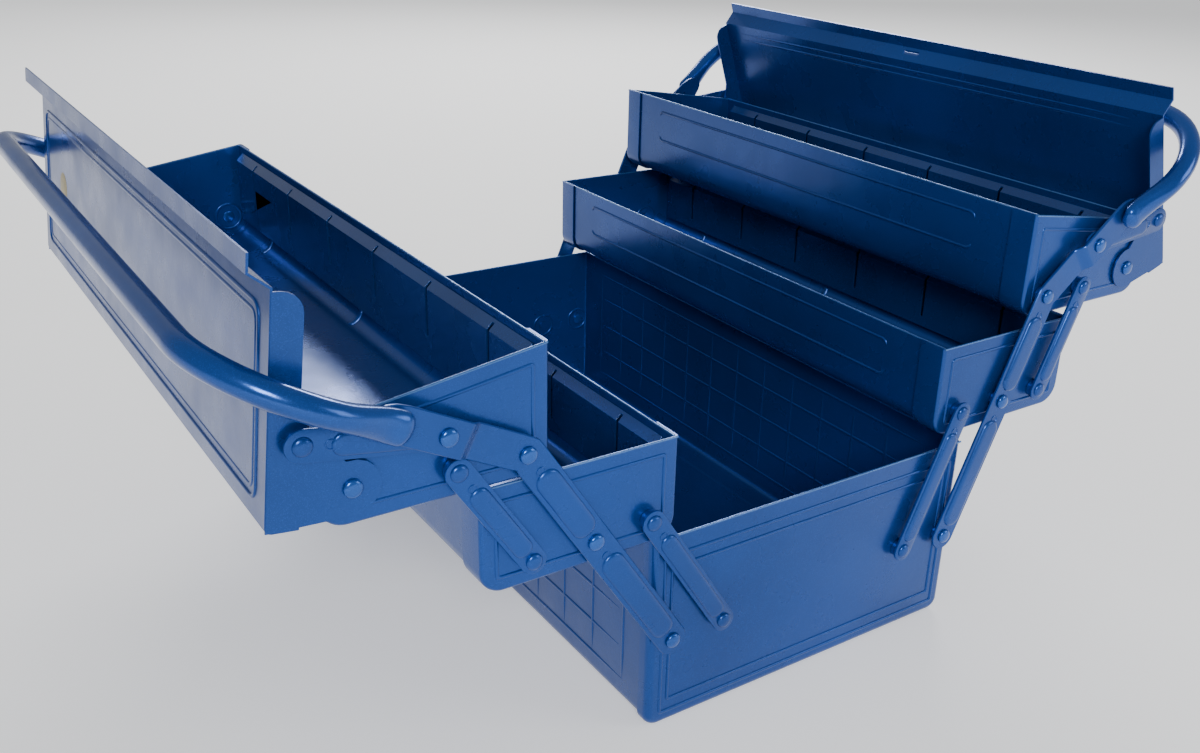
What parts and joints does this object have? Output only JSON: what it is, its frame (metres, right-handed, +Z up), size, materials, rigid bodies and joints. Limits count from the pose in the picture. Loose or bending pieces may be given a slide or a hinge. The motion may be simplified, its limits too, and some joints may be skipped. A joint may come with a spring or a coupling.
{
  "type": "cantilever toolbox",
  "caption": "Cantilever metal toolbox with a deep base, swing-out trays on parallel links, lidded top trays and folding carrying handles.",
  "frame": {"origin": "centre of the base's underside", "axes": "+X across the box to the right-hand trays, +Y along the box to its far end, +Z up"},
  "size_m": [0.6046, 0.4618, 0.3096],
  "materials": {
    "outer_paint": "gloss",
    "inner_paint": "satin",
    "rail_paint": "satin",
    "rivet_steel": "gloss"
  },
  "bodies": {
    "base": {"base_wrap": "inner_paint", "base_end_near": "outer_paint", "base_end_far": "outer_paint", "left_arm_rivet_base_near": "rivet_steel", "left_arm_rivet_base_far": "rivet_steel", "right_arm_rivet_base_near": "rivet_steel", "right_arm_rivet_base_far": "rivet_steel"},
    "left_handle": {"left_handle": "outer_paint", "left_lid_link_rivet_near": "rivet_steel", "left_lid_link_rivet_far": "rivet_steel"},
    "left_mid_tray": {"left_mid_tray_wrap": "inner_paint", "left_mid_tray_end_near": "outer_paint", "left_mid_tray_end_far": "outer_paint", "left_mid_tray_inner_rail": "rail_paint", "left_mid_tray_outer_rail": "rail_paint", "left_arm_rivet_mid_tray_near": "rivet_steel", "left_arm_rivet_mid_tray_far": "rivet_steel"},
    "left_top_tray": {"left_top_tray_wrap": "inner_paint", "left_top_tray_end_near": "outer_paint", "left_top_tray_end_far": "outer_paint", "left_top_tray_inner_rail": "rail_paint", "left_top_tray_outer_rail": "rail_paint", "left_arm_rivet_top_tray_near": "rivet_steel", "left_arm_rivet_top_tray_far": "rivet_steel", "left_lid_rivet_near": "rivet_steel", "left_lid_rivet_far": "rivet_steel"},
    "left_lid": {"left_lid": "outer_paint"},
    "left_lower_links": {"left_lower_link_near": "outer_paint", "left_lower_link_far": "outer_paint"},
    "left_upper_links": {"left_upper_link_near": "outer_paint", "left_upper_link_far": "outer_paint"},
    "left_lid_links": {"left_lid_link_near": "outer_paint", "left_lid_link_far": "outer_paint"},
    "right_handle": {"right_handle": "outer_paint", "right_lid_link_rivet_near": "rivet_steel", "right_lid_link_rivet_far": "rivet_steel"},
    "right_mid_tray": {"right_mid_tray_wrap": "inner_paint", "right_mid_tray_end_near": "outer_paint", "right_mid_tray_end_far": "outer_paint", "right_mid_tray_inner_rail": "rail_paint", "right_mid_tray_outer_rail": "rail_paint", "right_arm_rivet_mid_tray_near": "rivet_steel", "right_arm_rivet_mid_tray_far": "rivet_steel"},
    "right_top_tray": {"right_top_tray_wrap": "inner_paint", "right_top_tray_end_near": "outer_paint", "right_top_tray_end_far": "outer_paint", "right_top_tray_inner_rail": "rail_paint", "right_top_tray_outer_rail": "rail_paint", "right_arm_rivet_top_tray_near": "rivet_steel", "right_arm_rivet_top_tray_far": "rivet_steel", "right_lid_rivet_near": "rivet_steel", "right_lid_rivet_far": "rivet_steel"},
    "right_lid": {"right_lid": "outer_paint"},
    "right_lower_links": {"right_lower_link_near": "outer_paint", "right_lower_link_far": "outer_paint"},
    "right_upper_links": {"right_upper_link_near": "outer_paint", "right_upper_link_far": "outer_paint"},
    "right_lid_links": {"right_lid_link_near": "outer_paint", "right_lid_link_far": "outer_paint"}
  },
  "joints": [
    {"name": "left_arm_swing", "type": "hinge", "parent": "base", "child": "left_handle", "pos_m": [-0.0995, 0, 0.057], "axis": [0, 1, 0], "range_deg": [0, 66.4]},
    {"name": "left_mid_tray_pivot", "type": "hinge", "parent": "left_handle", "child": "left_mid_tray", "pos_m": [-0.14719, 0, 0.12988], "axis": [0, 1, 0], "range_deg": [-66.4, 0]},
    {"name": "left_top_tray_pivot", "type": "hinge", "parent": "left_handle", "child": "left_top_tray", "pos_m": [-0.18311, 0, 0.18477], "axis": [0, 1, 0], "range_deg": [-66.4, 0]},
    {"name": "left_lower_link_pivot", "type": "hinge", "parent": "base", "child": "left_lower_links", "pos_m": [-0.0662, 0, 0.057], "axis": [0, 1, 0], "range_deg": [0, 66.4]},
    {"name": "left_upper_link_pivot", "type": "hinge", "parent": "left_mid_tray", "child": "left_upper_links", "pos_m": [-0.18019, 0, 0.12988], "axis": [0, 1, 0], "range_deg": [0, 66.4]},
    {"name": "left_lid_hinge", "type": "hinge", "parent": "left_top_tray", "child": "left_lid", "pos_m": [-0.26131, 0, 0.18867], "axis": [0, 1, 0], "range_deg": [0, 75.7]},
    {"name": "left_lid_link_pivot", "type": "hinge", "parent": "left_handle", "child": "left_lid_links", "pos_m": [-0.22225, 0, 0.20489], "axis": [0, 1, 0], "range_deg": [-86.96, 0]},
    {"name": "right_arm_swing", "type": "hinge", "parent": "base", "child": "right_handle", "pos_m": [0.0995, 0, 0.057], "axis": [0, -1, 0], "range_deg": [-10.3, 56.1]},
    {"name": "right_mid_tray_pivot", "type": "hinge", "parent": "right_handle", "child": "right_mid_tray", "pos_m": [0.13339, 0, 0.13723], "axis": [0, -1, 0], "range_deg": [-56.1, 10.3]},
    {"name": "right_top_tray_pivot", "type": "hinge", "parent": "right_handle", "child": "right_top_tray", "pos_m": [0.15892, 0, 0.19767], "axis": [0, -1, 0], "range_deg": [-56.1, 10.3]},
    {"name": "right_lower_link_pivot", "type": "hinge", "parent": "base", "child": "right_lower_links", "pos_m": [0.0662, 0, 0.057], "axis": [0, -1, 0], "range_deg": [-10.3, 56.1]},
    {"name": "right_upper_link_pivot", "type": "hinge", "parent": "right_mid_tray", "child": "right_upper_links", "pos_m": [0.16639, 0, 0.13723], "axis": [0, -1, 0], "range_deg": [-10.3, 56.1]},
    {"name": "right_lid_hinge", "type": "hinge", "parent": "right_top_tray", "child": "right_lid", "pos_m": [0.23712, 0, 0.20156], "axis": [0, -1, 0], "range_deg": [-11.74, 63.95]},
    {"name": "right_lid_link_pivot", "type": "hinge", "parent": "right_handle", "child": "right_lid_links", "pos_m": [0.19383, 0, 0.22445], "axis": [0, -1, 0], "range_deg": [-73.47, 13.49]}
  ],
  "couplings": [
    {"joint": "left_mid_tray_pivot", "follows": "left_arm_swing", "ratio": -1},
    {"joint": "left_top_tray_pivot", "follows": "left_arm_swing", "ratio": -1},
    {"joint": "left_lower_link_pivot", "follows": "left_arm_swing", "ratio": 1},
    {"joint": "left_upper_link_pivot", "follows": "left_arm_swing", "ratio": 1},
    {"joint": "left_lid_hinge", "follows": "left_arm_swing", "ratio": 1.14},
    {"joint": "left_lid_link_pivot", "follows": "left_arm_swing", "ratio": -1.3096},
    {"joint": "right_mid_tray_pivot", "follows": "right_arm_swing", "ratio": -1},
    {"joint": "right_top_tray_pivot", "follows": "right_arm_swing", "ratio": -1},
    {"joint": "right_lower_link_pivot", "follows": "right_arm_swing", "ratio": 1},
    {"joint": "right_upper_link_pivot", "follows": "right_arm_swing", "ratio": 1},
    {"joint": "right_lid_hinge", "follows": "right_arm_swing", "ratio": 1.14},
    {"joint": "right_lid_link_pivot", "follows": "right_arm_swing", "ratio": -1.3096}
  ]
}
